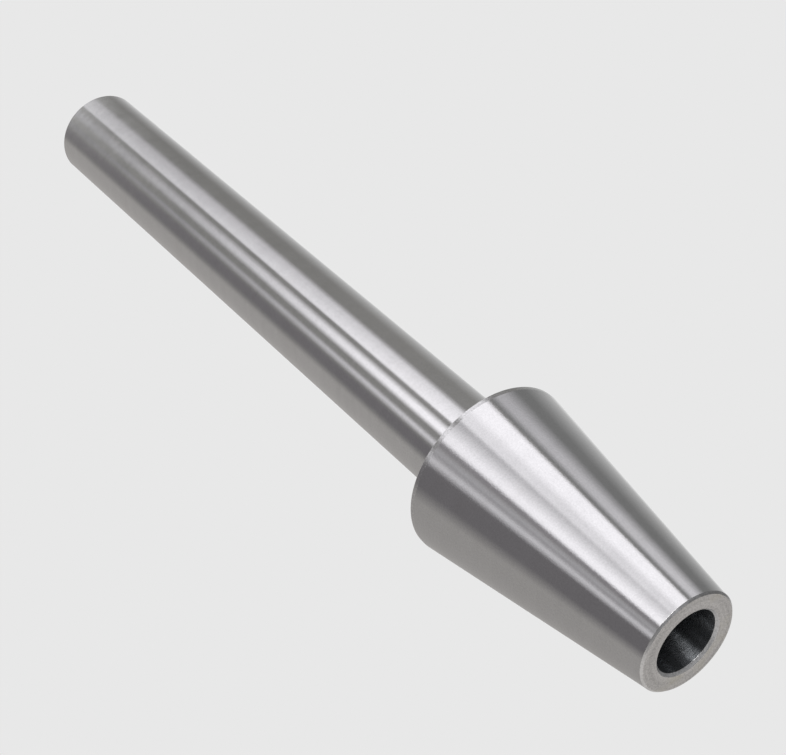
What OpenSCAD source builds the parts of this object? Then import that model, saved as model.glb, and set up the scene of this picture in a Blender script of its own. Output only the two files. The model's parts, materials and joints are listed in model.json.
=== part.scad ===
// Bull-nose live center: a hollow tapered head turns on bearings round a fixed straight shank.
// The axis lies along X and the head points towards +X. The origin is on the axis, at the end of
// the shank's full diameter, a little behind the head. All sizes are in millimetres.

/* [Shank] */
// Diameter of the straight shank
shank_d = 40; // [39.5:0.5:42]
// Length from the head's rear face to the shank's rear end
shank_len = 300; // [150:5:400]
// Chamfer round the shank's rear end
shank_chamfer = 1; // [0.5:0.25:2]
// Diameter of the journal that the shaft seal runs on
journal_d = 38; // [37:0.5:38]

/* [Head] */
// Largest diameter of the tapered head, at its rear
head_d = 72; // [72:0.5:76]
// Length of the head
head_len = 108; // [108:1:125]
// Length over which the head's diameter falls by 7 mm
taper_run = 24; // [23:0.25:26]
// Length of the straight land at the head's large end, before the taper starts
rear_land = 2; // [1:0.25:3]
// Chamfer round the head's rear edge
rear_chamfer = 0.3; // [0.1:0.1:0.6]
// Chamfer round the head's small end
nose_chamfer = 0.75; // [0.25:0.25:1.5]
// Gap between the end of the shank's full diameter and the head
head_gap = 2; // [1:0.5:3]

/* [Nose bore] */
// Diameter of the open bore in the small end
bore_d = 26; // [25:0.1:27]
// Depth of that bore, down to the grease plug
bore_depth = 20; // [15:0.5:20]
// Chamfer at the mouth of the bore
bore_chamfer = 1; // [0.2:0.1:1.5]

/* [Bearings] */
// Number of balls in the radial bearing
radial_ball_n = 9; // [7:1:9]
// Number of balls in the thrust bearing
thrust_ball_n = 16; // [12:1:16]
// Number of needle rollers in the front bearing
needle_n = 16; // [12:1:18]

/* [Hidden] */
$fn = 96;

fit = 0.02;             // radial gap where one piece is seated on another
run_gap = 0.03;         // gap between a rolling element and its raceway
face_gap = 0.5;         // gap between a fixed face and a turning face

// Radial bearing, 25 x 52 x 15
radial_bore_r = 12.5;
radial_outer_r = 26;
radial_w = 15;
radial_ball_r = 3.969;
radial_pitch_r = (radial_bore_r + radial_outer_r) / 2;

// Thrust bearing, 30 x 47 x 11
thrust_bore_r = 15;
thrust_outer_r = 23.5;
thrust_w = 11;
thrust_ball_r = 3.175;
thrust_pitch_r = (thrust_bore_r + thrust_outer_r) / 2;
thrust_washer_t = 3.2;

// Needle bearing, 20 x 28 x 16, running on the shank's own nose
needle_shaft_r = 10;
needle_outer_r = 14;
needle_w = 16;
needle_r = 1.25;
needle_len = 12.8;
needle_pitch_r = needle_shaft_r + run_gap + needle_r;

// Shaft seal, 38 x 48 x 4
seal_outer_r = 24;
seal_w = 4;
seal_case_t = 0.8;
lip_gap = 0.05;

// Locknut M25 x 1.5 and its tab washer
nut_thread_r = 12.5;
nut_r = 19;
nut_w = 7;
nut_slot_w = 5;
nut_slot_depth = 2;
nut_slot_n = 4;
tab_t = 1.2;
tab_ring_r = 16;
tab_tip_r = 20.5;
tab_w = 4.6;
tab_n = 12;
keyway_w = 5;
keyway_depth = 2.4;
thread_pitch = 1.5;
thread_depth = 0.6;

// Rear cover M58 x 1.5
cover_r = 29;
cover_len = 9.5;
cover_recess = 0.5;
pin_hole_r = 1.5;
pin_hole_circle_r = 26.4;
pin_hole_depth = 4;
pin_hole_n = 4;
o_ring_groove_w = 1.8;
o_ring_groove_depth = 1.3;
o_ring_front_land = 0.8;

// Grub screws M3 that lock the cover's thread, each half in the cover and half in the head
lock_screw_r = 1.5;
lock_screw_len = 5;
lock_screw_recess = 0.3;
lock_screw_hex_af = 1.5;
lock_screw_n = 2;

// Grease plug M18 x 1.5 with a hexagon socket
plug_thread_r = 9;
plug_flange_r = 11.2;
plug_recess_r = 11.5;
plug_flange_t = 3;
plug_body_len = 6.5;
plug_hex_af = 8;
plug_hex_depth = 5;
seal_ring_t = 1;

// Circlip 28 x 1.2, its groove in the head and the relief in front of the needle bearing
circlip_t = 1.2;
circlip_outer_r = 14.6;
circlip_groove_r = 14.7;
circlip_side_gap = 0.1;
relief_r = 12;
relief_w = 2;

// Cup between the two ball bearings
cup_flange_t = 3;
cup_flange_r = 17;
cup_face_r = 22.5;
cup_face_gap = 0.5;

// Stations along the axis
head_back = head_gap;
head_front = head_back + head_len;
shank_back = head_back - shank_len;
cover_back = head_back + cover_recess;
cover_front = cover_back + cover_len;
o_ring_back = cover_front - o_ring_front_land - o_ring_groove_w;
seal_back = cover_back + face_gap;
seal_front = seal_back + seal_w;
thrust_back = cover_front + face_gap;
thrust_mid = thrust_back + thrust_w / 2;
thrust_front = thrust_back + thrust_w;
radial_back = thrust_front + cup_flange_t;
radial_mid = radial_back + radial_w / 2;
radial_front = radial_back + radial_w;
nut_back = radial_front + tab_t;
nut_front = nut_back + nut_w;
thread_front = nut_front + 2;
chamber_front = thread_front + 5;
seat_mouth = chamber_front + 3;
needle_back = seat_mouth + 3;
needle_mid = needle_back + needle_w / 2;
needle_front = needle_back + needle_w;
circlip_back = needle_back - circlip_t;
bore_floor = head_front - bore_depth;
plug_seat = bore_floor - plug_flange_t - seal_ring_t;

// Radii inside the head
chamber_r = 21.5;
taper_r = 7 / taper_run / 2;
head_r = head_d / 2;
small_r = head_r - (head_len - rear_land - nose_chamfer) * taper_r;

// Turns a list of [radius, station] points round the X axis
module turned(profile)
    rotate([0, 90, 0])
        rotate_extrude()
            polygon(profile);

// Puts its children, made on the Z axis, on the X axis with their base at a station
module at_station(x)
    translate([x, 0, 0])
        rotate([0, 90, 0])
            children();

// Repeats its children n times round the X axis
module round_axis(n)
    for (i = [0 : n - 1])
        rotate([360 * i / n, 0, 0])
            children();

// V grooves of a thread, as rings cut into a surface of radius r between two stations
module thread_grooves(r, from, to)
    for (x = [from + thread_pitch : thread_pitch : to - thread_pitch / 2])
        turned([
            [r - thread_depth, x],
            [r + 0.2, x - thread_depth * 0.65 - 0.1],
            [r + 0.2, x + thread_depth * 0.65 + 0.1]
        ]);

module shank() {
    centre_hole_r = 6.6;
    pilot_r = 3.15;
    pilot_depth = 14;
    cone_depth = (centre_hole_r - pilot_r) * sqrt(3);
    color([0.72, 0.71, 0.70])
        difference() {
            turned([
                [0, shank_back],
                [shank_d / 2 - shank_chamfer, shank_back],
                [shank_d / 2, shank_back + shank_chamfer],
                [shank_d / 2, 0],
                [shank_d / 2 - 0.5, 0.5],
                [journal_d / 2, 0.5],
                [journal_d / 2, thrust_back],
                [thrust_bore_r - fit, thrust_back],
                [thrust_bore_r - fit, radial_back],
                [radial_bore_r - fit, radial_back],
                [radial_bore_r - fit, radial_front],
                [nut_thread_r - fit, radial_front],
                [nut_thread_r - fit, thread_front - 1],
                [nut_thread_r - 1 - fit, thread_front],
                [needle_shaft_r, thread_front],
                [needle_shaft_r, needle_front - 1],
                [needle_shaft_r - 1, needle_front],
                [0, needle_front]
            ]);
            turned([
                [0, shank_back - 1],
                [centre_hole_r + 1 / sqrt(3), shank_back - 1],
                [pilot_r, shank_back + cone_depth],
                [pilot_r, shank_back + pilot_depth],
                [0, shank_back + pilot_depth + pilot_r / sqrt(3)]
            ]);
            thread_grooves(nut_thread_r - fit, radial_front, thread_front);
            translate([radial_front, -keyway_w / 2, nut_thread_r - keyway_depth])
                cube([thread_front - radial_front + 1, keyway_w, keyway_depth + 1]);
        }
}

// The head before its lock screw holes are drilled
module head_body()
    turned([
        [cover_r + fit, head_back],
        [head_r - rear_chamfer, head_back],
        [head_r, head_back + rear_chamfer],
        [head_r, head_back + rear_land],
        [small_r, head_front - nose_chamfer],
        [small_r - nose_chamfer, head_front],
        [bore_d / 2 + bore_chamfer, head_front],
        [bore_d / 2, head_front - bore_chamfer],
        [bore_d / 2, bore_floor],
        [plug_recess_r, bore_floor],
        [plug_recess_r, plug_seat],
        [plug_thread_r + fit, plug_seat],
        [plug_thread_r + fit, needle_front + relief_w],
        [relief_r, needle_front + relief_w],
        [relief_r, needle_front],
        [needle_outer_r + fit, needle_front],
        [needle_outer_r + fit, needle_back],
        [circlip_groove_r, needle_back],
        [circlip_groove_r, circlip_back - circlip_side_gap],
        [needle_outer_r + fit, circlip_back - circlip_side_gap],
        [needle_outer_r + fit, seat_mouth],
        [chamber_r, chamber_front],
        [chamber_r, radial_front],
        [radial_outer_r + fit, radial_front],
        [radial_outer_r + fit, cover_front],
        [cover_r + fit, cover_front]
    ]);

module head() {
    color([0.74, 0.73, 0.72])
        difference() {
            head_body();
            lock_screw_holes();
        }
}

// Places its children, made on the Z axis, at each lock screw's seat
module at_lock_screws(x)
    rotate([45, 0, 0])
        round_axis(lock_screw_n)
            translate([0, cover_r, 0])
                at_station(x)
                    children();

module lock_screw_holes()
    at_lock_screws(head_back - 1)
        cylinder(r = lock_screw_r + fit, h = 1 + cover_recess + lock_screw_recess + lock_screw_len);

module o_ring_groove()
    turned([
        [cover_r - o_ring_groove_depth, o_ring_back],
        [cover_r + 1, o_ring_back],
        [cover_r + 1, o_ring_back + o_ring_groove_w],
        [cover_r - o_ring_groove_depth, o_ring_back + o_ring_groove_w]
    ]);

module rear_cover() {
    color([0.45, 0.45, 0.46])
        difference() {
            turned([
                [journal_d / 2 + 0.4, seal_front],
                [seal_outer_r + fit, seal_front],
                [seal_outer_r + fit, cover_back + 0.4],
                [seal_outer_r + 0.4, cover_back],
                [cover_r - 0.5, cover_back],
                [cover_r, cover_back + 0.5],
                [cover_r, cover_front],
                [journal_d / 2 + 0.4, cover_front]
            ]);
            o_ring_groove();
            thread_grooves(cover_r, cover_back, o_ring_back);
            lock_screw_holes();
            round_axis(pin_hole_n)
                translate([0, pin_hole_circle_r, 0])
                    at_station(cover_back - 1)
                        cylinder(r = pin_hole_r, h = pin_hole_depth + 1);
        }
}

// Rubber ring, drawn squeezed to its groove between the cover and the head
module cover_o_ring() {
    from = o_ring_back + 0.1;
    to = o_ring_back + o_ring_groove_w - 0.1;
    inner_r = cover_r - o_ring_groove_depth;
    corner = 0.4;
    color([0.07, 0.07, 0.07])
        turned([
            [inner_r, from + corner], [inner_r + corner, from],
            [cover_r - corner, from], [cover_r, from + corner],
            [cover_r, to - corner], [cover_r - corner, to],
            [inner_r + corner, to], [inner_r, to - corner]
        ]);
}

// Grub screws with hexagon sockets
module cover_lock_screws()
    color([0.20, 0.20, 0.21])
        at_lock_screws(cover_back + lock_screw_recess)
            difference() {
                cylinder(r = lock_screw_r, h = lock_screw_len);
                translate([0, 0, -1])
                    cylinder(r = lock_screw_hex_af / sqrt(3), h = 2.6, $fn = 6);
            }

// Steel case of the shaft seal, an L in section
module shaft_seal_case() {
    flange_r = journal_d / 2 + 2;
    color([0.55, 0.55, 0.56])
        turned([
            [seal_outer_r, seal_back],
            [seal_outer_r, seal_front],
            [flange_r, seal_front],
            [flange_r, seal_front - seal_case_t],
            [seal_outer_r - seal_case_t, seal_front - seal_case_t],
            [seal_outer_r - seal_case_t, seal_back]
        ]);
}

// Rubber lip of the shaft seal, bonded inside its case and just clear of the journal
module shaft_seal_lip() {
    shaft_r = journal_d / 2;
    rim_r = seal_outer_r - seal_case_t - fit;
    rim_front = seal_front - seal_case_t - fit;
    color([0.06, 0.06, 0.06])
        turned([
            [rim_r, seal_back + 0.2],
            [rim_r, rim_front],
            [shaft_r + 2, rim_front],
            [shaft_r + 1.2, rim_front - 0.5],
            [shaft_r + lip_gap, seal_back + 1.2],
            [shaft_r + 0.6, seal_back + 0.3],
            [shaft_r + 1.6, seal_back + 0.9],
            [rim_r - 1.2, seal_back + 0.9]
        ]);
}

// Flat washer with a ball groove in the face at groove_x; the ball path is at station ball_x
module thrust_washer(inner_r, outer_r, from, to, ball_x)
    rotate([0, 90, 0])
        rotate_extrude()
            difference() {
                polygon([
                    [inner_r, from + 0.3], [inner_r + 0.3, from],
                    [outer_r - 0.3, from], [outer_r, from + 0.3],
                    [outer_r, to - 0.3], [outer_r - 0.3, to],
                    [inner_r + 0.3, to], [inner_r, to - 0.3]
                ]);
                translate([thrust_pitch_r, ball_x])
                    circle(r = thrust_ball_r + run_gap);
            }

module thrust_shaft_washer()
    color([0.66, 0.66, 0.67])
        thrust_washer(thrust_bore_r, thrust_outer_r - 0.4,
            thrust_back, thrust_back + thrust_washer_t, thrust_mid);

module thrust_housing_washer()
    color([0.66, 0.66, 0.67])
        thrust_washer(thrust_bore_r + 1, thrust_outer_r,
            thrust_front - thrust_washer_t, thrust_front, thrust_mid);

module thrust_balls()
    color([0.86, 0.86, 0.87])
        round_axis(thrust_ball_n)
            translate([thrust_mid, 0, thrust_pitch_r])
                sphere(r = thrust_ball_r);

// Flat brass ring with a round pocket for each ball
module thrust_cage()
    color([0.72, 0.56, 0.27])
        difference() {
            turned([
                [thrust_bore_r + 0.9, thrust_mid - 1.3],
                [thrust_outer_r - 0.9, thrust_mid - 1.3],
                [thrust_outer_r - 0.9, thrust_mid + 1.3],
                [thrust_bore_r + 0.9, thrust_mid + 1.3]
            ]);
            round_axis(thrust_ball_n)
                translate([thrust_mid, 0, thrust_pitch_r])
                    sphere(r = thrust_ball_r + 0.12);
        }

// Cup that carries the thrust bearing's turning washer and clamps the radial bearing's outer ring
module thrust_cup()
    color([0.50, 0.50, 0.52])
        turned([
            [thrust_outer_r + fit, cover_front],
            [radial_outer_r, cover_front],
            [radial_outer_r, radial_back],
            [cup_face_r, radial_back],
            [cup_face_r, radial_back - cup_face_gap],
            [cup_flange_r, radial_back - cup_face_gap],
            [cup_flange_r, thrust_front],
            [thrust_outer_r + fit, thrust_front]
        ]);

// One ring of the radial bearing, its raceway cut by the ball's path
module radial_ring(profile)
    rotate([0, 90, 0])
        rotate_extrude()
            difference() {
                polygon(profile);
                translate([radial_pitch_r, radial_mid])
                    circle(r = radial_ball_r + run_gap);
            }

radial_inner_land_r = 17.2;
radial_outer_land_r = 21.3;
shield_seat_r = 22.4;
shield_seat_w = 1.2;

module radial_inner_ring()
    color([0.68, 0.68, 0.69])
        radial_ring([
            [radial_bore_r, radial_back + 0.8], [radial_bore_r + 0.8, radial_back],
            [radial_inner_land_r - 0.3, radial_back], [radial_inner_land_r, radial_back + 0.3],
            [radial_inner_land_r, radial_front - 0.3], [radial_inner_land_r - 0.3, radial_front],
            [radial_bore_r + 0.8, radial_front], [radial_bore_r, radial_front - 0.8]
        ]);

module radial_outer_ring()
    color([0.68, 0.68, 0.69])
        radial_ring([
            [shield_seat_r, radial_back], [radial_outer_r - 0.8, radial_back],
            [radial_outer_r, radial_back + 0.8], [radial_outer_r, radial_front - 0.8],
            [radial_outer_r - 0.8, radial_front], [shield_seat_r, radial_front],
            [shield_seat_r, radial_front - shield_seat_w],
            [radial_outer_land_r, radial_front - shield_seat_w],
            [radial_outer_land_r, radial_back + shield_seat_w],
            [shield_seat_r, radial_back + shield_seat_w]
        ]);

module radial_balls()
    color([0.86, 0.86, 0.87])
        round_axis(radial_ball_n)
            translate([radial_mid, 0, radial_pitch_r])
                sphere(r = radial_ball_r);

// Pressed ring with a pocket round each ball and a rivet between pockets
module radial_cage() {
    half_w = 5.2;
    half_t = 0.8;
    rivet_r = 0.9;
    color([0.62, 0.60, 0.55])
        difference() {
            union() {
                turned([
                    [radial_pitch_r - half_t, radial_mid - half_w],
                    [radial_pitch_r + half_t, radial_mid - half_w],
                    [radial_pitch_r + half_t, radial_mid + half_w],
                    [radial_pitch_r - half_t, radial_mid + half_w]
                ]);
                rotate([180 / radial_ball_n, 0, 0])
                    round_axis(radial_ball_n)
                        translate([0, 0, radial_pitch_r])
                            at_station(radial_mid - half_w - 0.4)
                                cylinder(r = rivet_r, h = 2 * half_w + 0.8);
            }
            round_axis(radial_ball_n)
                translate([radial_mid, 0, radial_pitch_r])
                    sphere(r = radial_ball_r + 0.12);
        }
}

// Thin dished shield at one side of the radial bearing; outward is -1 at the back and +1 in front
module shield(outward) {
    face = radial_mid + outward * radial_w / 2;
    seat = face - outward * shield_seat_w;
    t = outward * 0.4;
    turned([
        [shield_seat_r - fit, seat],
        [shield_seat_r - fit, seat + 2 * t],
        [shield_seat_r - 0.6, seat + 2 * t],
        [shield_seat_r - 0.6, seat + t],
        [radial_inner_land_r + 1.4, seat + t],
        [radial_inner_land_r + 0.8, seat + 1.6 * t],
        [radial_inner_land_r + 0.3, seat + 1.6 * t],
        [radial_inner_land_r + 0.3, seat + 0.6 * t],
        [radial_inner_land_r + 0.8, seat + 0.6 * t],
        [radial_inner_land_r + 1.4, seat]
    ]);
}

module radial_rear_shield()
    color([0.60, 0.60, 0.61])
        shield(-1);

module radial_front_shield()
    color([0.60, 0.60, 0.61])
        shield(1);

// Tab washer: a ring with outer tabs, a tongue in the shank's keyway and one tab bent into the nut
module lock_washer()
    color([0.52, 0.52, 0.53])
        union() {
            turned([
                [nut_thread_r + 0.3, radial_front + fit],
                [tab_ring_r, radial_front + fit],
                [tab_ring_r, nut_back - fit],
                [nut_thread_r + 0.3, nut_back - fit]
            ]);
            for (i = [1 : tab_n - 1])
                rotate([360 * i / tab_n, 0, 0])
                    translate([radial_front + fit, -tab_w / 2, tab_ring_r - 1])
                        cube([tab_t - 2 * fit, tab_w, tab_tip_r - tab_ring_r + 1]);
            translate([radial_front + fit, -tab_w / 2, tab_ring_r - 1])
                cube([tab_t - 2 * fit, tab_w, nut_r - nut_slot_depth + tab_t - tab_ring_r + 1.2]);
            translate([radial_front + fit, -tab_w / 2, nut_r - nut_slot_depth + 0.2])
                cube([tab_t + 3, tab_w, tab_t]);
            translate([radial_front + fit, -tab_w / 2, nut_thread_r - keyway_depth + 0.3])
                cube([tab_t - 2 * fit, tab_w, keyway_depth + 1]);
        }

module locknut()
    color([0.30, 0.30, 0.31])
        difference() {
            turned([
                [nut_thread_r + fit, nut_back + 0.6],
                [nut_thread_r + 0.6, nut_back],
                [nut_r - 1.8, nut_back],
                [nut_r, nut_back + 0.8],
                [nut_r, nut_front - 0.8],
                [nut_r - 1.8, nut_front],
                [nut_thread_r + 0.6, nut_front],
                [nut_thread_r + fit, nut_front - 0.6]
            ]);
            round_axis(nut_slot_n)
                translate([nut_back - 1, -nut_slot_w / 2, nut_r - nut_slot_depth])
                    cube([nut_w + 2, nut_slot_w, nut_slot_depth + 1]);
        }

module needle_rollers()
    color([0.86, 0.86, 0.87])
        round_axis(needle_n)
            translate([0, 0, needle_pitch_r])
                turned([
                    [0, needle_mid - needle_len / 2],
                    [needle_r - 0.25, needle_mid - needle_len / 2],
                    [needle_r, needle_mid - needle_len / 2 + 0.25],
                    [needle_r, needle_mid + needle_len / 2 - 0.25],
                    [needle_r - 0.25, needle_mid + needle_len / 2],
                    [0, needle_mid + needle_len / 2]
                ]);

// Thin sleeve with a slot for each needle
module needle_cage() {
    half_w = needle_w / 2 - 0.3;
    slot_gap = 0.1;
    color([0.62, 0.60, 0.55])
        difference() {
            turned([
                [needle_pitch_r - 0.7, needle_mid - half_w],
                [needle_pitch_r + 0.45, needle_mid - half_w],
                [needle_pitch_r + 0.45, needle_mid + half_w],
                [needle_pitch_r - 0.7, needle_mid + half_w]
            ]);
            round_axis(needle_n)
                translate([0, 0, needle_pitch_r])
                    at_station(needle_mid - needle_len / 2 - slot_gap)
                        cylinder(r = needle_r + slot_gap, h = needle_len + 2 * slot_gap);
        }
}

module needle_outer_ring() {
    race_r = needle_pitch_r + needle_r + run_gap;
    lip_r = needle_pitch_r + 0.65;
    lip_w = 1.4;
    color([0.68, 0.68, 0.69])
        turned([
            [lip_r, needle_back], [needle_outer_r - 0.4, needle_back],
            [needle_outer_r, needle_back + 0.4], [needle_outer_r, needle_front - 0.4],
            [needle_outer_r - 0.4, needle_front], [lip_r, needle_front],
            [lip_r, needle_front - lip_w], [race_r, needle_front - lip_w],
            [race_r, needle_back + lip_w], [lip_r, needle_back + lip_w]
        ]);
}

// Internal snap ring with two eyes for the pliers, in a groove behind the needle bearing
module circlip() {
    gap_angle = 34;
    thick = circlip_t - 0.05;
    inner_r = circlip_outer_r - 2.2;
    eye_r = 1.7;
    eye_hole_r = 0.7;
    eye_circle_r = inner_r + 0.5;
    eye_angle = gap_angle / 2 + 6;
    color([0.25, 0.25, 0.26])
        at_station(circlip_back)
            difference() {
                union() {
                    rotate([0, 0, gap_angle / 2])
                        rotate_extrude(angle = 360 - gap_angle)
                            translate([inner_r, 0])
                                square([circlip_outer_r - inner_r, thick]);
                    for (side = [-1, 1])
                        rotate([0, 0, side * eye_angle])
                            translate([eye_circle_r, 0, 0])
                                cylinder(r = eye_r, h = thick);
                }
                for (side = [-1, 1])
                    rotate([0, 0, side * eye_angle])
                        translate([eye_circle_r, 0, -1])
                            cylinder(r = eye_hole_r, h = circlip_t + 2);
            }
}

// Soft copper ring under the plug's flange
module plug_seal_ring()
    color([0.72, 0.45, 0.30])
        turned([
            [plug_thread_r + 0.2, plug_seat],
            [plug_flange_r - 0.1, plug_seat],
            [plug_flange_r - 0.1, plug_seat + seal_ring_t],
            [plug_thread_r + 0.2, plug_seat + seal_ring_t]
        ]);

module grease_plug()
    color([0.28, 0.28, 0.29])
        difference() {
            turned([
                [0, plug_seat - plug_body_len],
                [plug_thread_r - 1, plug_seat - plug_body_len],
                [plug_thread_r, plug_seat - plug_body_len + 1],
                [plug_thread_r, plug_seat + seal_ring_t],
                [plug_flange_r, plug_seat + seal_ring_t],
                [plug_flange_r, bore_floor - 0.6],
                [plug_flange_r - 0.6, bore_floor],
                [0, bore_floor]
            ]);
            thread_grooves(plug_thread_r, plug_seat - plug_body_len, plug_seat);
            at_station(bore_floor - plug_hex_depth)
                cylinder(r = plug_hex_af / sqrt(3), h = plug_hex_depth + 1, $fn = 6);
        }

shank();
head();
rear_cover();
cover_o_ring();
cover_lock_screws();
shaft_seal_case();
shaft_seal_lip();
thrust_shaft_washer();
thrust_balls();
thrust_cage();
thrust_housing_washer();
thrust_cup();
radial_inner_ring();
radial_balls();
radial_cage();
radial_outer_ring();
radial_rear_shield();
radial_front_shield();
lock_washer();
locknut();
needle_rollers();
needle_cage();
needle_outer_ring();
circlip();
plug_seal_ring();
grease_plug();
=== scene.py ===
import json
import math

import bpy
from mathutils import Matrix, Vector


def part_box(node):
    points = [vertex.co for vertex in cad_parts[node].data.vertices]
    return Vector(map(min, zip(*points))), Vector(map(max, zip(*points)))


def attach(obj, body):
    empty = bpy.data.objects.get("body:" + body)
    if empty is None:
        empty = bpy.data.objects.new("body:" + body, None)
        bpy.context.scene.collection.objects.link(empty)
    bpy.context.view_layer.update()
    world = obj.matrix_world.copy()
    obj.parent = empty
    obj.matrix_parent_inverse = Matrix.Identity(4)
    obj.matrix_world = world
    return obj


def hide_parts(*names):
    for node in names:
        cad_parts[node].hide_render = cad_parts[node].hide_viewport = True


# A bull-nose live center in bare ground steel, over a plain pale floor. Lengths are in metres, in the CAD
# model's frame: the axis is X, the head points to +X, and Z is up.

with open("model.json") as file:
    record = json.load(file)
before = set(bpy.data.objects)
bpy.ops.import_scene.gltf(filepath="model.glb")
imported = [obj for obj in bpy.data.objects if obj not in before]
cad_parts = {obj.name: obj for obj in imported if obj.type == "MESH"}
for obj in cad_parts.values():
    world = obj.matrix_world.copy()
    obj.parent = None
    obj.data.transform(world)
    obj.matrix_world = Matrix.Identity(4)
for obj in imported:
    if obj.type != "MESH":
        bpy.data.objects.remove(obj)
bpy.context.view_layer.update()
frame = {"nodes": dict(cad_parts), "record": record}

MM = 0.001
SEGMENTS = 288          # faces round a turned piece
HOLE_SEGMENTS = 48      # faces round a drilled hole
ROUND_STEPS = 5         # faces across a rounded edge
EDGE = 0.12 * MM        # radius left on a broken edge
ON_AXIS = 1e-7          # a radius under this is none


# ---------------------------------------------------------------- sizes

def reach(node):
    """Where a node starts and ends along the axis, and its largest radius."""
    low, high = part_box(node)
    return low.x, high.x, high.y


def mount_radius(name):
    return next(m["dims"]["r_mm"] for m in frame["record"]["mounts"] if m["name"] == name) * MM


SHANK_BACK, SHANK_NOSE, _ = reach("shank")
HEAD_BACK, HEAD_FRONT, HEAD_R = reach("head")
COVER_BACK, COVER_FRONT, COVER_R = reach("rear_cover")
SEAL_BACK, SEAL_FRONT, SEAL_R = reach("shaft_seal_case")
O_RING_BACK, O_RING_FRONT, _ = reach("cover_o_ring")
THRUST_BACK = reach("thrust_shaft_washer")[0]
RADIAL_BACK, RADIAL_FRONT, RADIAL_R = reach("radial_outer_ring")
NUT_FRONT = reach("locknut")[1]
NEEDLE_BACK, NEEDLE_FRONT, NEEDLE_R = reach("needle_outer_ring")
CIRCLIP_BACK = reach("circlip")[0]
PLUG_BACK, BORE_FLOOR, PLUG_R = reach("grease_plug")
PLUG_SEAT, PLUG_FLANGE_BACK, _ = reach("plug_seal_ring")
SCREW_BACK, SCREW_FRONT, _ = reach("cover_lock_screws")

SHANK_R = mount_radius("shank")
BORE_R = mount_radius("nose_bore")

# Sizes that no box gives
TAPER = 7 / 24 / 2          # fall in radius along the head
REAR_LAND = 2 * MM          # straight, before the taper starts
REAR_ROUND = 0.3 * MM       # radius of the head's rear edge
NOSE_CHAMFER = 0.75 * MM
BORE_CHAMFER = 1 * MM
SHANK_CHAMFER = 1 * MM
LEAD = 1 * MM               # chamfers inside, where a piece is led in
FIT = 0.02 * MM             # half the play between two pieces
JOURNAL_R = 19 * MM
THRUST_SEAT_R = 15 * MM
RADIAL_SEAT_R = 12.5 * MM
NEEDLE_SEAT_R = 10 * MM
CENTRE_HOLE_R = 6.6 * MM
CENTRE_PILOT_R = 3.15 * MM
CENTRE_PILOT_DEPTH = 14 * MM
KEYWAY_W = 5 * MM
KEYWAY_DEPTH = 2.4 * MM
CHAMBER_R = 21.5 * MM       # room for the locknut
CHAMBER_LEN = 7 * MM        # from the locknut to the chamber's cone
CHAMBER_CONE = 3 * MM
GROOVE_DEPTH = 0.7 * MM     # the circlip's
GROOVE_PLAY = 0.1 * MM
RELIEF_R = 12 * MM          # in front of the needle bearing
RELIEF_W = 2 * MM
PLUG_THREAD_R = 9 * MM
PLUG_RECESS_R = 11.5 * MM
PLUG_HEX_AF = 8 * MM
PLUG_HEX_DEPTH = 5 * MM
PLUG_CHAMFER = 0.6 * MM
THREAD_PITCH = 1.5 * MM
THREAD_DEPTH = 0.6 * MM
COVER_GAP = 0.4 * MM        # to the journal
COVER_CHAMFER = 0.5 * MM
SEAL_LEAD = 0.4 * MM
O_RING_GROOVE_DEPTH = 1.3 * MM
PIN_HOLE_N = 4
PIN_HOLE_R = 1.5 * MM
PIN_HOLE_CIRCLE_R = 26.4 * MM
PIN_HOLE_DEPTH = 4 * MM
SCREW_R = 1.5 * MM
SCREW_HEX_AF = 1.5 * MM
SCREW_HEX_DEPTH = 1.6 * MM
CASE_T = 0.6 * MM           # the seal case's sheet


# ---------------------------------------------------------------- shader nodes

class Graph:
    """Short calls for making shader nodes."""

    def __init__(self, tree):
        self.tree = tree
        tree.nodes.clear()

    def node(self, kind, inputs=(), **settings):
        made = self.tree.nodes.new("ShaderNode" + kind)
        for key, value in settings.items():
            setattr(made, key, value)
        for key, value in dict(inputs).items():
            if isinstance(value, bpy.types.NodeSocket):
                self.tree.links.new(value, made.inputs[key])
            else:
                made.inputs[key].default_value = value
        return made

    def math(self, operation, *values, clamp=False):
        return self.node("Math", enumerate(values), operation=operation, use_clamp=clamp).outputs[0]

    def remap(self, value, low, high, to_low=0.0, to_high=1.0, smooth=False):
        kind = "SMOOTHSTEP" if smooth else "LINEAR"
        inputs = {0: value, 1: low, 2: high, 3: to_low, 4: to_high}
        return self.node("MapRange", inputs, interpolation_type=kind).outputs[0]

    def centred(self, noise, reach=0.5):
        """A noise as a swing to both sides of zero."""
        return self.remap(noise, 0.3, 0.7, -reach, reach)

    def mix_colour(self, factor, a, b, blend="MIX"):
        mixed = self.node("Mix", data_type="RGBA", blend_type=blend, clamp_factor=True)
        for socket, value in zip((mixed.inputs[0], mixed.inputs[6], mixed.inputs[7]), (factor, a, b)):
            if isinstance(value, bpy.types.NodeSocket):
                self.tree.links.new(value, socket)
            else:
                socket.default_value = value
        return mixed.outputs[2]

    def noise(self, vector, scale, detail=3.0, roughness=0.5):
        inputs = {"Vector": vector, "Scale": scale, "Detail": detail, "Roughness": roughness}
        return self.node("TexNoise", inputs).outputs[0]

    def turned_coordinates(self, along, around):
        """Coordinates in which a pattern runs in fine lines round the axis, on walls and on end faces."""
        place = self.node("SeparateXYZ", {0: self.node("TexCoord").outputs["Object"]}).outputs
        flat = self.node("CombineXYZ", {1: place[1], 2: place[2]}).outputs[0]
        radius = self.node("VectorMath", {0: flat}, operation="LENGTH").outputs["Value"]
        station = self.math("MULTIPLY_ADD", radius, 1.7, place[0])
        inputs = {
            0: self.math("MULTIPLY", station, along),
            1: self.math("MULTIPLY", place[1], around),
            2: self.math("MULTIPLY", place[2], around),
        }
        return self.node("CombineXYZ", inputs).outputs[0]


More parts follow.
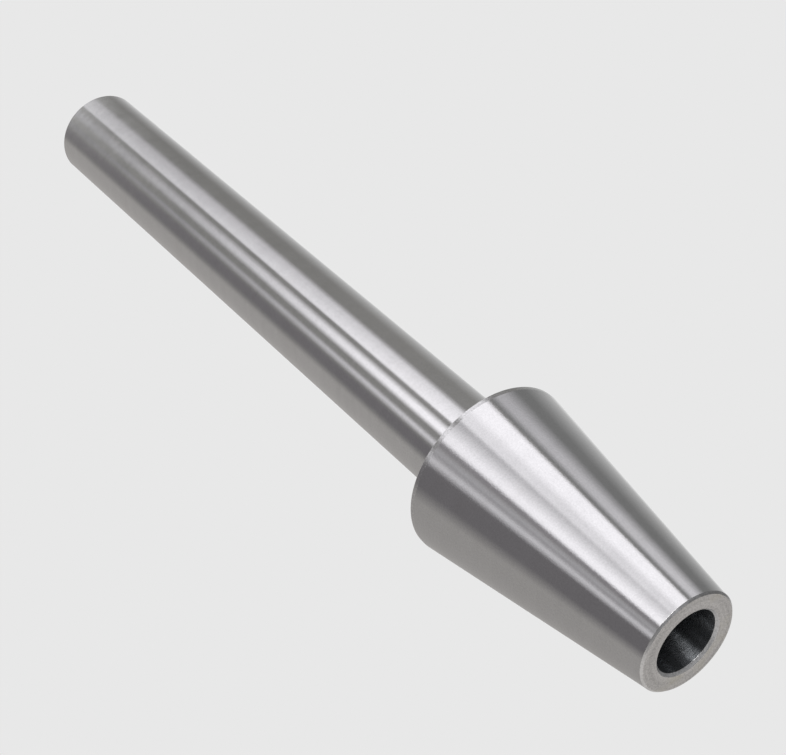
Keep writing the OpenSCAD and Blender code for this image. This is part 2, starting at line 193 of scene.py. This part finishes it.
def grey(level, warmth=0.0):
    """A grey, warmer where warmth is over 0 and cooler where it is under."""
    return (level * (1 + warmth), level, level * (1 - warmth), 1)


# ---------------------------------------------------------------- materials

GRAIN_LENGTH = 3 * MM       # of a tool or grinding line


def turned_metal(
    name, colour, roughness, grain=0.0, grain_pitch=0.5 * MM, mottle=0.0, spread=0.04, pits=0.0,
    stain=None, stain_amount=0.0, anisotropic=0.0, metallic=1.0,
):
    """Metal with tool or grinding lines round the axis, uneven polish, and stains from oil and handling.

    Grain and mottle are the heights of the lines and of the speckle, spread is how far the tone varies, and
    pits is how dark the pits are.
    """
    material = bpy.data.materials.new(name)
    material.use_nodes = True
    graph = Graph(material.node_tree)
    place = graph.node("TexCoord").outputs["Object"]
    lines = graph.noise(graph.turned_coordinates(1 / grain_pitch, 1 / GRAIN_LENGTH), 1, 2)
    streaks = graph.noise(graph.turned_coordinates(1 / (9 * grain_pitch), 40), 1, 3)
    cloud = graph.noise(place, 45, 4, 0.6)
    speckle = graph.noise(place, 1400, 2)

    shade = graph.math("ADD", graph.centred(streaks), graph.centred(cloud))
    shade = graph.math("ADD", shade, graph.centred(speckle, 1))
    tone = graph.math("MULTIPLY_ADD", shade, spread, 1)
    tone = graph.node("CombineColor", {0: tone, 1: tone, 2: tone}).outputs[0]
    base = graph.mix_colour(1, colour, tone, "MULTIPLY")
    if stain:
        patch = graph.math("MULTIPLY", graph.remap(cloud, 0.5, 0.75, smooth=True), stain_amount, clamp=True)
        base = graph.mix_colour(patch, base, stain)
    if pits:
        base = graph.mix_colour(graph.remap(speckle, 0.66, 0.74, 0, pits), base, grey(0.08, 0.1))

    polish = graph.math("ADD", graph.centred(lines), graph.centred(cloud))
    inputs = {
        "Base Color": base,
        "Metallic": metallic,
        "Roughness": graph.math("MULTIPLY_ADD", polish, roughness * 0.3, roughness, clamp=True),
        "Anisotropic": anisotropic,
        "Anisotropic Rotation": 0.25,
    }
    if grain:
        height = graph.math("MULTIPLY_ADD", streaks, 2, lines)
        height = graph.math("MULTIPLY_ADD", speckle, mottle / grain, height)
        inputs["Normal"] = graph.node("Bump", {"Strength": 1, "Distance": grain, "Height": height}).outputs[0]
    if anisotropic:
        inputs["Tangent"] = graph.node("Tangent", direction_type="RADIAL", axis="X").outputs[0]
    shader = graph.node("BsdfPrincipled", inputs)
    graph.node("OutputMaterial", {0: shader.outputs[0]})
    return material


def moulded_rubber(name):
    """Black nitrile, a little shiny, with fine moulding texture and a bloom of dust."""
    material = bpy.data.materials.new(name)
    material.use_nodes = True
    graph = Graph(material.node_tree)
    place = graph.node("TexCoord").outputs["Object"]
    fine = graph.noise(place, 2500, 3)
    dust = graph.remap(graph.noise(place, 120, 4), 0.45, 0.7, 0, 0.35, smooth=True)
    inputs = {
        "Base Color": graph.mix_colour(dust, grey(0.02), grey(0.10, 0.05)),
        "Roughness": graph.remap(dust, 0, 0.35, 0.45, 0.75),
        "Normal": graph.node("Bump", {"Strength": 0.4, "Distance": 0.03 * MM, "Height": fine}).outputs[0],
    }
    shader = graph.node("BsdfPrincipled", inputs)
    graph.node("OutputMaterial", {0: shader.outputs[0]})
    return material


OIL_STAIN = (0.34, 0.30, 0.24, 1)

METALS = {
    "ground_shank": dict(
        colour=grey(0.62), roughness=0.13, grain=0.006 * MM, mottle=0.006 * MM,
        stain=grey(0.5, 0.03), stain_amount=0.2, anisotropic=0.6,
    ),
    "ground_head": dict(
        colour=grey(0.62), roughness=0.12, grain=0.008 * MM, mottle=0.009 * MM,
        stain=grey(0.5, 0.03), stain_amount=0.2, anisotropic=0.7,
    ),
    "worn_edge": dict(colour=grey(0.58), roughness=0.24, grain=0.004 * MM, mottle=0.02 * MM, spread=0.25),
    "worn_land": dict(
        colour=grey(0.60), roughness=0.20, grain=0.006 * MM, mottle=0.02 * MM, spread=0.12, anisotropic=0.6,
    ),
    "nose_edge": dict(colour=grey(0.62), roughness=0.42, grain=0.004 * MM, spread=0.12),
    "turned_face": dict(
        colour=grey(0.44, 0.015), roughness=0.42, grain=0.02 * MM, grain_pitch=0.25 * MM, spread=0.25,
        pits=0.5, stain=(0.40, 0.38, 0.29, 1), stain_amount=0.8, metallic=0.85,
    ),
    # The bore's wall is steel given a darker colour, painted shade for the dark inside the bore; its streak
    # comes from the nose lamp.
    "bore_painted_shade": dict(
        colour=grey(0.27, -0.05), roughness=0.26, grain=0.001 * MM, anisotropic=1.0, metallic=0.94,
    ),
    "bore_lip": dict(
        colour=grey(0.50), roughness=0.38, grain=0.006 * MM, spread=0.2, pits=0.4, metallic=0.6,
    ),
    "turned_steel": dict(
        colour=grey(0.42, 0.02), roughness=0.34, grain=0.02 * MM, grain_pitch=0.3 * MM, spread=0.1,
        stain=OIL_STAIN, stain_amount=0.3,
    ),
    "black_oxide": dict(
        colour=grey(0.045, -0.03), roughness=0.38, grain=0.02 * MM, spread=0.4,
        stain=grey(0.12, 0.1), stain_amount=0.5,
    ),
    "pressed_steel": dict(
        colour=grey(0.50, 0.01), roughness=0.30, grain=0.004 * MM, spread=0.08,
        stain=OIL_STAIN, stain_amount=0.3,
    ),
    "bearing_steel": dict(
        colour=grey(0.58), roughness=0.15, grain=0.002 * MM, stain=grey(0.4, 0.1), stain_amount=0.2,
    ),
    "ball_steel": dict(
        colour=grey(0.66), roughness=0.07, spread=0.02, stain=grey(0.5, 0.05), stain_amount=0.2,
    ),
    "brass": dict(
        colour=(0.62, 0.42, 0.16, 1), roughness=0.28, grain=0.01 * MM,
        stain=(0.30, 0.19, 0.08, 1), stain_amount=0.4,
    ),
    "copper": dict(
        colour=(0.66, 0.30, 0.18, 1), roughness=0.32, grain=0.01 * MM,
        stain=(0.25, 0.10, 0.06, 1), stain_amount=0.5,
    ),
}
FINISHES = {name: turned_metal(name, **settings) for name, settings in METALS.items()}
FINISHES["rubber"] = moulded_rubber("rubber")


# ---------------------------------------------------------------- turned pieces

def corner(x, r, edge=0.0, finish=None):
    """A corner of an outline: its station, radius and edge radius, and the finish from it to the next one."""
    return x, r, edge, finish


def outline(corners, edge_finish):
    """Strips of a closed outline, as (start, its normal, end, its normal, finish), and the way it runs.

    Rounded edges become arcs, in a finish of their own where one is named.
    """
    following = corners[1:] + corners[:1]
    area = sum(a[0] * b[1] - b[0] * a[1] for a, b in zip(corners, following))
    side = 1 if area > 0 else -1
    spots = []      # (point, normal before it, normal after it, finish after it)
    finish = next(c[3] for c in corners if c[3])
    for before, (x, r, edge, new_finish), after in zip(corners[-1:] + corners[:-1], corners, following):
        finish = new_finish or finish
        here = Vector((x, r))
        into = (here - Vector(before[:2])).normalized()
        away = (Vector(after[:2]) - here).normalized()
        first = Vector((into.y, -into.x)) * side
        last = Vector((away.y, -away.x)) * side
        if not edge:
            spots.append((here, first, last, finish))
            continue
        start_angle = math.atan2(first.y, first.x)
        turn = math.atan2(first.x * last.y - first.y * last.x, first.dot(last))
        bulge = 1 if turn * side > 0 else -1
        centre = here - into * edge * math.tan(abs(turn) / 2) - first * edge * bulge
        for step in range(ROUND_STEPS + 1):
            angle = start_angle + turn * step / ROUND_STEPS
            normal = Vector((math.cos(angle), math.sin(angle)))
            on_arc = finish if step == ROUND_STEPS else edge_finish or finish
            spots.append((centre + normal * edge * bulge, normal, normal, on_arc))
    strips = []
    for (start, _, leaving, strip_finish), (end, arriving, _, _) in zip(spots, spots[1:] + spots[:1]):
        if max(start.y, end.y) > ON_AXIS:
            strips.append((start, leaving, end, arriving, strip_finish))
    return strips, side


def drilled(y, z, r, start, end):
    """A round hole along the axis."""
    return {"sides": HOLE_SEGMENTS, "round": True, "y": y, "z": z, "r": r, "start": start, "end": end}


def socketed(y, z, across_flats, start, end):
    """A hexagon socket along the axis."""
    r = across_flats / math.sqrt(3)
    return {"sides": 6, "round": False, "y": y, "z": z, "r": r, "start": start, "end": end}


def marked(name, points, faces, marks):
    """An object whose faces each carry a whole number, which outlives the cutting."""
    mesh = bpy.data.meshes.new(name)
    mesh.from_pydata(points, [], faces)
    mesh.attributes.new("mark", "INT", "FACE").data.foreach_set("value", marks)
    made = bpy.data.objects.new(name, mesh)
    bpy.context.scene.collection.objects.link(made)
    return made


def hole_cutter(hole, mark):
    """A solid in a hole's shape, whose walls carry a mark."""
    sides = hole["sides"]
    turns = [2 * math.pi * (i + 0.5) / sides for i in range(sides)]
    ring = [(hole["y"] + hole["r"] * math.cos(a), hole["z"] + hole["r"] * math.sin(a)) for a in turns]
    points = [(station, *spot) for station in (hole["start"], hole["end"]) for spot in ring]
    faces = [(i, (i + 1) % sides, sides + (i + 1) % sides, sides + i) for i in range(sides)]
    faces += [tuple(range(sides))[::-1], tuple(range(sides, 2 * sides))]
    return marked("tool", points, faces, [mark] * sides + [0, 0])


def slot_cutter(low, high):
    """A block between two opposite corners."""
    points = [(x, y, z) for x in (low[0], high[0]) for y in (low[1], high[1]) for z in (low[2], high[2])]
    faces = [(0, 1, 3, 2), (4, 6, 7, 5), (0, 4, 5, 1), (2, 3, 7, 6), (0, 2, 6, 4), (1, 5, 7, 3)]
    return marked("tool", points, faces, [0] * len(faces))


def cut(piece, tools):
    """Cuts the tools out of a piece, and removes them."""
    for tool in tools:
        modifier = piece.modifiers.new("cut", "BOOLEAN")
        modifier.operation, modifier.solver, modifier.object = "DIFFERENCE", "EXACT", tool
    evaluated = piece.evaluated_get(bpy.context.evaluated_depsgraph_get())
    mesh = bpy.data.meshes.new_from_object(evaluated)
    piece.modifiers.clear()
    piece.data = mesh
    for tool in tools:
        bpy.data.objects.remove(tool)


def spin(strips, side, segments, copies):
    """Points, faces and marks of strips spun round each copy's axis. A mark is the strip's number, from 1."""
    points, faces, marks = [], [], []
    angles = [2 * math.pi * i / segments for i in range(segments)]
    for off_y, off_z in copies:
        rings = {}

        def ring(spot):
            key = (round(spot.x, 8), round(spot.y, 8))
            if key not in rings:
                first = len(points)
                if spot.y < ON_AXIS:
                    points.append((spot.x, off_y, off_z))
                    rings[key] = [first] * segments
                else:
                    points.extend(
                        (spot.x, off_y + spot.y * math.cos(a), off_z + spot.y * math.sin(a)) for a in angles
                    )
                    rings[key] = list(range(first, first + segments))
            return rings[key]

        for number, (start, _, end, _, _) in enumerate(strips):
            a, b = ring(start), ring(end)
            for i in range(segments):
                j = (i + 1) % segments
                face = list(dict.fromkeys((a[i], a[j], b[j], b[i])))
                faces.append(face if side < 0 else face[::-1])
                marks.append(number + 1)
    return points, faces, marks


def turned(
    name, body, node, corners,
    holes=(), slots=(), segments=SEGMENTS, copies=((0, 0),), edge_finish=None,
):
    """Spins an outline round the axis, cuts its holes, gives it exact normals, and puts it on its body."""
    strips, side = outline(corners, edge_finish)
    piece = marked(name, *spin(strips, side, segments, copies))
    # The walls of round holes are marked -1, -2 and so on, and flat walls 0.
    tools = [hole_cutter(hole, -1 - i if hole["round"] else 0) for i, hole in enumerate(holes)]
    tools += [slot_cutter(low, high) for low, high in slots]
    if tools:
        cut(piece, tools)
    finishes = list(dict.fromkeys(strip[4] for strip in strips))
    shade(piece.data, strips, holes, copies, finishes)
    for finish in finishes:
        piece.data.materials.append(FINISHES[finish])
    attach(piece, body)
    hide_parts(node)


def shade(mesh, strips, holes, copies, finishes):
    """Sets each face's finish and its exact normals, from the outline or from the hole that made it."""
    marks = [0] * len(mesh.polygons)
    mesh.attributes["mark"].data.foreach_get("value", marks)
    mesh.shade_smooth()
    normals = [None] * len(mesh.loops)
    for face, mark in zip(mesh.polygons, marks):
        face.material_index = finishes.index(strips[mark - 1][4]) if mark > 0 else 0
        off_y, off_z = min(copies, key=lambda c: math.hypot(face.center.y - c[0], face.center.z - c[1]))
        for loop in face.loop_indices:
            point = mesh.vertices[mesh.loops[loop].vertex_index].co
            if mark > 0:
                start, start_normal, end, end_normal, _ = strips[mark - 1]
                y, z = point.y - off_y, point.z - off_z
                r = math.hypot(y, z)
                if r < ON_AXIS:
                    y, z = face.center.y - off_y, face.center.z - off_z
                along = (Vector((point.x, r)) - start).dot(end - start) / (end - start).length_squared
                normal = start_normal.lerp(end_normal, min(max(along, 0), 1)).normalized()
                away = Vector((y, z)).normalized()
                normals[loop] = (normal.x, normal.y * away.x, normal.y * away.y)
            elif mark < 0:
                hole = holes[-1 - mark]
                inward = Vector((hole["y"] - point.y, hole["z"] - point.z)).normalized()
                normals[loop] = (0, inward.x, inward.y)
            else:
                normals[loop] = tuple(face.normal)
    mesh.normals_split_custom_set(normals)
    mesh.attributes.remove(mesh.attributes["mark"])


def thread(start, end, r, depth):
    """Corners of a run of V grooves, from start to end. Depth is negative on an inside thread."""
    way = 1 if end > start else -1
    count = int(abs(end - start) / THREAD_PITCH)
    corners = []
    for i in range(count):
        root = start + way * THREAD_PITCH * (i + 0.5)
        half = way * THREAD_PITCH * 0.42
        corners += [corner(root - half, r), corner(root, r - depth), corner(root + half, r)]
    return corners


def nose_r(x):
    """The radius of the head's taper at a station, before its chamfers."""
    return HEAD_R - (x - HEAD_BACK - REAR_LAND) * TAPER


def make_head():
    front_r = nose_r(HEAD_FRONT)
    mouth = HEAD_FRONT - BORE_CHAMFER
    cone = NUT_FRONT + CHAMBER_LEN
    groove = CIRCLIP_BACK - GROOVE_PLAY
    turned("head_body", "head", "head", [
        corner(HEAD_BACK, COVER_R + FIT, 0, "turned_face"),
        corner(HEAD_BACK, HEAD_R, REAR_ROUND, "worn_land"),
        corner(HEAD_BACK + REAR_LAND, HEAD_R, 0, "ground_head"),
        corner(HEAD_FRONT - NOSE_CHAMFER, front_r + NOSE_CHAMFER * TAPER, EDGE, "nose_edge"),
        corner(HEAD_FRONT, front_r - NOSE_CHAMFER * (1 - TAPER), EDGE, "turned_face"),
        corner(HEAD_FRONT, BORE_R + BORE_CHAMFER, EDGE, "bore_lip"),
        # The bore's wall takes the darker steel, painted shade.
        corner(mouth, BORE_R, EDGE, "bore_painted_shade"),
        corner(BORE_FLOOR, BORE_R),
        corner(BORE_FLOOR, PLUG_RECESS_R),
        corner(PLUG_SEAT, PLUG_RECESS_R),
        corner(PLUG_SEAT, PLUG_THREAD_R + FIT),
        corner(NEEDLE_FRONT + RELIEF_W, PLUG_THREAD_R + FIT, 0, "turned_steel"),
        corner(NEEDLE_FRONT + RELIEF_W, RELIEF_R),
        corner(NEEDLE_FRONT, RELIEF_R),
        corner(NEEDLE_FRONT, NEEDLE_R + FIT),
        corner(NEEDLE_BACK, NEEDLE_R + FIT),
        corner(NEEDLE_BACK, NEEDLE_R + GROOVE_DEPTH),
        corner(groove, NEEDLE_R + GROOVE_DEPTH),
        corner(groove, NEEDLE_R + FIT),
        corner(cone + CHAMBER_CONE, NEEDLE_R + FIT),
        corner(cone, CHAMBER_R),
        corner(RADIAL_FRONT, CHAMBER_R),
        corner(RADIAL_FRONT, RADIAL_R + FIT),
        corner(COVER_FRONT, RADIAL_R + FIT),
        corner(COVER_FRONT, COVER_R + FIT),
    ], holes=lock_screw_holes(), edge_finish="worn_edge")


def lock_screw_places():
    at = COVER_R / math.sqrt(2)
    return (at, at), (-at, -at)


def lock_screw_holes():
    return [drilled(y, z, SCREW_R + FIT, COVER_BACK - 2 * MM, SCREW_FRONT) for y, z in lock_screw_places()]


def make_shank():
    pilot_front = SHANK_BACK + CENTRE_PILOT_DEPTH
    cone = (CENTRE_HOLE_R - CENTRE_PILOT_R) * math.sqrt(3)      # 60 degrees across
    thread_front = NUT_FRONT + LEAD
    step = thread_front + LEAD
    turned("shank_body", "shank", "shank", [
        corner(pilot_front + CENTRE_PILOT_R * 0.6, 0, 0, "turned_steel"),
        corner(pilot_front, CENTRE_PILOT_R),
        corner(SHANK_BACK + cone, CENTRE_PILOT_R),
        corner(SHANK_BACK, CENTRE_HOLE_R, EDGE, "turned_face"),
        corner(SHANK_BACK, SHANK_R - SHANK_CHAMFER, EDGE, "worn_edge"),
        corner(SHANK_BACK + SHANK_CHAMFER, SHANK_R, EDGE, "ground_shank"),
        corner(0, SHANK_R, EDGE, "ground_shank"),
        corner(0.5 * MM, JOURNAL_R + 0.5 * MM),
        corner(0.5 * MM, JOURNAL_R),
        corner(THRUST_BACK, JOURNAL_R, 0, "turned_steel"),
        corner(THRUST_BACK, THRUST_SEAT_R - FIT),
        corner(RADIAL_BACK, THRUST_SEAT_R - FIT),
        corner(RADIAL_BACK, RADIAL_SEAT_R - FIT),
        *thread(RADIAL_FRONT, thread_front, RADIAL_SEAT_R - FIT, THREAD_DEPTH),
        corner(thread_front, RADIAL_SEAT_R - FIT),
        corner(step, RADIAL_SEAT_R - LEAD),
        corner(step, NEEDLE_SEAT_R),
        corner(SHANK_NOSE - LEAD, NEEDLE_SEAT_R),
        corner(SHANK_NOSE, NEEDLE_SEAT_R - LEAD),
        corner(SHANK_NOSE, 0),
    ], slots=[(
        (RADIAL_FRONT, -KEYWAY_W / 2, RADIAL_SEAT_R - KEYWAY_DEPTH),
        (step + LEAD, KEYWAY_W / 2, RADIAL_SEAT_R + LEAD),
    )], edge_finish="worn_edge")


def make_rear_cover():
    wall = JOURNAL_R + COVER_GAP
    groove_r = COVER_R - O_RING_GROOVE_DEPTH
    turns = [2 * math.pi * i / PIN_HOLE_N for i in range(PIN_HOLE_N)]
    pins = [drilled(
        PIN_HOLE_CIRCLE_R * math.cos(turn), PIN_HOLE_CIRCLE_R * math.sin(turn),
        PIN_HOLE_R, COVER_BACK - 1 * MM, COVER_BACK + PIN_HOLE_DEPTH,
    ) for turn in turns]
    turned("rear_cover_body", "head", "rear_cover", [
        corner(SEAL_FRONT, wall, 0, "turned_steel"),
        corner(SEAL_FRONT, SEAL_R + FIT),
        corner(COVER_BACK + SEAL_LEAD, SEAL_R + FIT, EDGE, "worn_edge"),
        corner(COVER_BACK, SEAL_R + SEAL_LEAD, EDGE, "turned_face"),
        corner(COVER_BACK, COVER_R - COVER_CHAMFER, EDGE, "worn_edge"),
        corner(COVER_BACK + COVER_CHAMFER, COVER_R, 0, "turned_steel"),
        *thread(COVER_BACK + 0.6 * MM, O_RING_BACK, COVER_R, THREAD_DEPTH),
        corner(O_RING_BACK, COVER_R),
        corner(O_RING_BACK, groove_r),
        corner(O_RING_FRONT, groove_r),
        corner(O_RING_FRONT, COVER_R),
        corner(COVER_FRONT, COVER_R),
        corner(COVER_FRONT, wall),
    ], holes=pins + lock_screw_holes())


def make_lock_screws():
    places = lock_screw_places()
    turned("lock_screws_body", "head", "cover_lock_screws", [
        corner(SCREW_BACK, 0, 0, "black_oxide"),
        corner(SCREW_BACK, SCREW_R, 0.1 * MM),
        corner(SCREW_FRONT, SCREW_R, 0.1 * MM),
        corner(SCREW_FRONT, 0),
    ], holes=[
        socketed(y, z, SCREW_HEX_AF, SCREW_BACK - 1 * MM, SCREW_BACK + SCREW_HEX_DEPTH) for y, z in places
    ], segments=HOLE_SEGMENTS, copies=places)


def make_seal():
    flange_r = JOURNAL_R + 2 * MM
    inner_r = SEAL_R - CASE_T
    turned("seal_case_body", "head", "shaft_seal_case", [
        corner(SEAL_BACK, SEAL_R, 0.1 * MM, "pressed_steel"),
        corner(SEAL_FRONT, SEAL_R, 0.4 * MM),
        corner(SEAL_FRONT, flange_r, 0.1 * MM),
        corner(SEAL_FRONT - CASE_T, flange_r, 0.1 * MM),
        corner(SEAL_FRONT - CASE_T, inner_r),
        corner(SEAL_BACK, inner_r, 0.1 * MM),
    ])
    rim_r = inner_r - FIT
    rim_front = SEAL_FRONT - CASE_T - FIT
    turned("seal_lip_body", "head", "shaft_seal_lip", [
        corner(SEAL_BACK + 0.2 * MM, rim_r, 0.1 * MM, "rubber"),
        corner(rim_front, rim_r),
        corner(rim_front, JOURNAL_R + 2 * MM),
        corner(rim_front - 0.5 * MM, JOURNAL_R + 1.2 * MM, 0.1 * MM),
        corner(SEAL_BACK + 1.2 * MM, JOURNAL_R + 0.02 * MM),
        corner(SEAL_BACK + 0.3 * MM, JOURNAL_R + 0.6 * MM, 0.15 * MM),
        corner(SEAL_BACK + 0.9 * MM, JOURNAL_R + 1.6 * MM, 0.3 * MM),
        corner(SEAL_BACK + 0.9 * MM, rim_r - 1.2 * MM, 0.3 * MM),
    ])


def make_grease_plug():
    turned("grease_plug_body", "head", "grease_plug", [
        corner(PLUG_BACK, 0, 0, "black_oxide"),
        corner(PLUG_BACK, PLUG_THREAD_R - LEAD),
        corner(PLUG_BACK + LEAD, PLUG_THREAD_R),
        *thread(PLUG_BACK + LEAD, PLUG_SEAT, PLUG_THREAD_R, THREAD_DEPTH),
        corner(PLUG_FLANGE_BACK, PLUG_THREAD_R),
        corner(PLUG_FLANGE_BACK, PLUG_R),
        corner(BORE_FLOOR - PLUG_CHAMFER, PLUG_R, EDGE),
        corner(BORE_FLOOR, PLUG_R - PLUG_CHAMFER, EDGE),
        corner(BORE_FLOOR, 0),
    ], holes=[socketed(0, 0, PLUG_HEX_AF, BORE_FLOOR - PLUG_HEX_DEPTH, BORE_FLOOR + 1 * MM)])


make_head()
make_shank()
make_rear_cover()
make_lock_screws()
make_seal()
make_grease_plug()

# The sealed bearings, rings and nut keep their CAD shapes, with a finish each.
CAD_FINISHES = {
    "cover_o_ring": "rubber",
    "thrust_shaft_washer": "bearing_steel",
    "thrust_balls": "ball_steel",
    "thrust_cage": "brass",
    "thrust_housing_washer": "bearing_steel",
    "thrust_cup": "turned_steel",
    "radial_inner_ring": "bearing_steel",
    "radial_balls": "ball_steel",
    "radial_cage": "brass",
    "radial_outer_ring": "bearing_steel",
    "radial_rear_shield": "pressed_steel",
    "radial_front_shield": "pressed_steel",
    "lock_washer": "pressed_steel",
    "locknut": "black_oxide",
    "needle_rollers": "ball_steel",
    "needle_cage": "brass",
    "needle_outer_ring": "bearing_steel",
    "circlip": "black_oxide",
    "plug_seal_ring": "copper",
}
for node, finish in CAD_FINISHES.items():
    held = frame["nodes"][node]
    if not held.material_slots:
        held.data.materials.append(None)
    for material_slot in held.material_slots:
        material_slot.material = FINISHES[finish]


# ---------------------------------------------------------------- studio

PALE = 0.807            # the backdrop
STEEL_GLOSS = 0.64      # how much of what it mirrors the ground steel sends back

WARM = (1.035, 1, 0.975)
COOL = (1.02, 1, 1.04)
MAUVE = (1.05, 1, 1.05)
OLIVE = (1.02, 1, 0.97)
NEUTRAL = (1, 1, 1)

# What the steel mirrors: long soft lights and dark screens that run beside the work, each layered over the
# ones before it. Angles go round the axis from overhead, positive toward the back. A row fades in over its
# first two angles and out over its last two, and its two levels are what the steel shows at the two leans.
# A lean is how far the mirrored ray leans along the axis, toward the nose if it is positive.
HEAD_LEANS = (-0.25, -0.55)
HEAD_SCREENS = (
    (-360, -359, 359, 360, 0.26, 0.26, WARM),       # the table in front
    (20, 28, 130, 150, 0.16, 0.16, NEUTRAL),        # dark room behind
    (74, 109, 147, 156, 0.34, 0.36, NEUTRAL),       # backdrop, brighter lower down
    (112, 150, 150, 156, 0.80, 0.80, NEUTRAL),
    (27, 35, 43, 61, 0.58, 0.23, COOL),             # weak light behind
    (-121, -103, -60, -50, 0.12, 0.12, MAUVE),      # dark room in front
    (-66, -59, -57, -50, 0.33, 0.33, COOL),
    (-54, -52, -30, -20, 0.20, 0.20, MAUVE),
    (-77, -70, -67, -61, 0.48, 0.48, COOL),         # low tube
    (-48, -43, 18, 24, 0.54, 0.20, COOL),           # top light, with two panels brighter
    (-48, -43, -37, -20, 0.90, 0.70, COOL),
    (-18, -14, 18, 24, 0.65, 0.88, COOL),
    (-6, 4, 18, 24, 0.89, 0.97, COOL),
)
SHANK_LEANS = (-0.60, -0.79)
SHANK_SCREENS = (
    (-360, -359, 359, 360, 0.29, 0.29, WARM),
    (-124, -104, 130, 146, 0.21, 0.16, OLIVE),
    (70, 112, 148, 162, 0.38, 0.40, NEUTRAL),
    (114, 152, 153, 162, 0.78, 0.82, NEUTRAL),
    (-118, -102, -86, -76, 0.13, 0.14, MAUVE),
    (-79, -70, -67, -60, 0.64, 0.13, COOL),
    (-50, -40, -32, -20, 1.10, 0.15, COOL),
    (-13, -9, 22, 35, 0.66, 0.29, COOL),
    (-13, -9, -6, 28, 0.96, 0.42, COOL),
)
REAR_LEANS = (-0.85, -1.0)
REAR_SCREENS = (
    (-360, -359, 359, 360, 0.34, 0.34, WARM),
    (-100, -50, 60, 100, 0.90, 0.90, NEUTRAL),
)
FRONT_LEANS = (0.1, 0.7)
FRONT_SCREENS = (
    (-360, -359, 359, 360, 0.42, 0.50, WARM),
    (-118, -102, 110, 130, 0.10, 0.08, NEUTRAL),
    (-78, -70, -67, -58, 0.45, 0.10, COOL),
    (-46, -43, 18, 26, 0.85, 0.12, COOL),
)


def mirrored(graph, angle, lean, leans, screens):
    """The colour of one set of screens, by angle and lean."""
    way = graph.remap(lean, *leans)
    colour = (0, 0, 0, 1)
    for fade_in, full, fading, gone, first_level, last_level, tint in screens:
        rise = graph.remap(angle, fade_in, full)
        fall = graph.remap(angle, fading, gone, 1, 0)
        mask = graph.math("MULTIPLY", rise, fall)
        ends = [(*(level / STEEL_GLOSS * part for part in tint), 1) for level in (first_level, last_level)]
        colour = graph.mix_colour(mask, colour, graph.mix_colour(way, *ends))
    return colour


def light_the_studio():
    world = bpy.data.worlds.new("studio")
    world.use_nodes = True
    graph = Graph(world.node_tree)
    direction = graph.node("SeparateXYZ", {0: graph.node("TexCoord").outputs["Generated"]}).outputs
    angle = graph.math("DEGREES", graph.math("ARCTAN2", direction[1], direction[2]))
    lean = direction[0]
    front, head, shank, rear = (
        mirrored(graph, angle, lean, leans, screens) for leans, screens in (
            (FRONT_LEANS, FRONT_SCREENS), (HEAD_LEANS, HEAD_SCREENS),
            (SHANK_LEANS, SHANK_SCREENS), (REAR_LEANS, REAR_SCREENS),
        )
    )
    studio = graph.mix_colour(graph.remap(lean, 0, HEAD_LEANS[0], smooth=True), front, head)
    studio = graph.mix_colour(graph.remap(lean, HEAD_LEANS[1], SHANK_LEANS[0], smooth=True), studio, shank)
    studio = graph.mix_colour(graph.remap(lean, SHANK_LEANS[1], REAR_LEANS[0], smooth=True), studio, rear)
    seen = graph.node("LightPath").outputs["Is Camera Ray"]
    colour = graph.mix_colour(seen, studio, grey(PALE))
    graph.node("OutputWorld", {0: graph.node("Background", {0: colour, 1: 1}).outputs[0]})
    bpy.context.scene.world = world


def hang_lamp():
    """A small soft lamp over the nose, which puts the streak down the wall of the bore."""
    data = bpy.data.lights.new("nose_lamp", "AREA")
    data.shape, data.size, data.size_y, data.energy = "RECTANGLE", 0.42, 0.80, 7
    lamp = bpy.data.objects.new("nose_lamp", data)
    toward = Vector((0.32, -0.33, 0.89)).normalized()
    lamp.location = Vector((HEAD_FRONT, 0, 0)) + toward * 1.2
    lamp.rotation_euler = toward.to_track_quat("Z", "Y").to_euler()
    bpy.context.scene.collection.objects.link(lamp)


def make_floor():
    """A plain pale floor, so far under the object that no shadow shows on it."""
    half, depth = 30, -1.2
    mesh = bpy.data.meshes.new("floor")
    mesh.from_pydata([(-half, -half, depth), (half, -half, depth), (half, half, depth), (-half, half, depth)],
                     [], [(0, 1, 2, 3)])
    floor = bpy.data.objects.new("floor", mesh)
    bpy.context.scene.collection.objects.link(floor)
    material = bpy.data.materials.new("pale_floor")
    material.use_nodes = True
    graph = Graph(material.node_tree)
    glow = graph.node("Emission", {0: (1, 1, 1, 1), 1: PALE})
    graph.node("OutputMaterial", {0: glow.outputs[0]})
    mesh.materials.append(material)
    floor.visible_glossy = False


def place_camera():
    azimuth, elevation = math.radians(54.56), math.radians(37.82)
    aim = Vector((-0.0349, -0.0174, 0.0281))
    distance = 0.685
    level = math.cos(elevation)
    back = Vector((math.sin(azimuth) * level, -math.cos(azimuth) * level, math.sin(elevation)))
    data = bpy.data.cameras.new("camera")
    data.lens, data.sensor_width = 84.94, 36
    data.clip_start, data.clip_end = 0.01, 100
    camera = bpy.data.objects.new("camera", data)
    camera.location = aim + back * distance
    camera.rotation_euler = back.to_track_quat("Z", "Y").to_euler()
    bpy.context.scene.collection.objects.link(camera)
    bpy.context.scene.camera = camera


light_the_studio()
hang_lamp()
make_floor()
place_camera()

view = bpy.context.scene.view_settings
view.view_transform, view.look, view.exposure, view.gamma = "Standard", "None", 0, 1
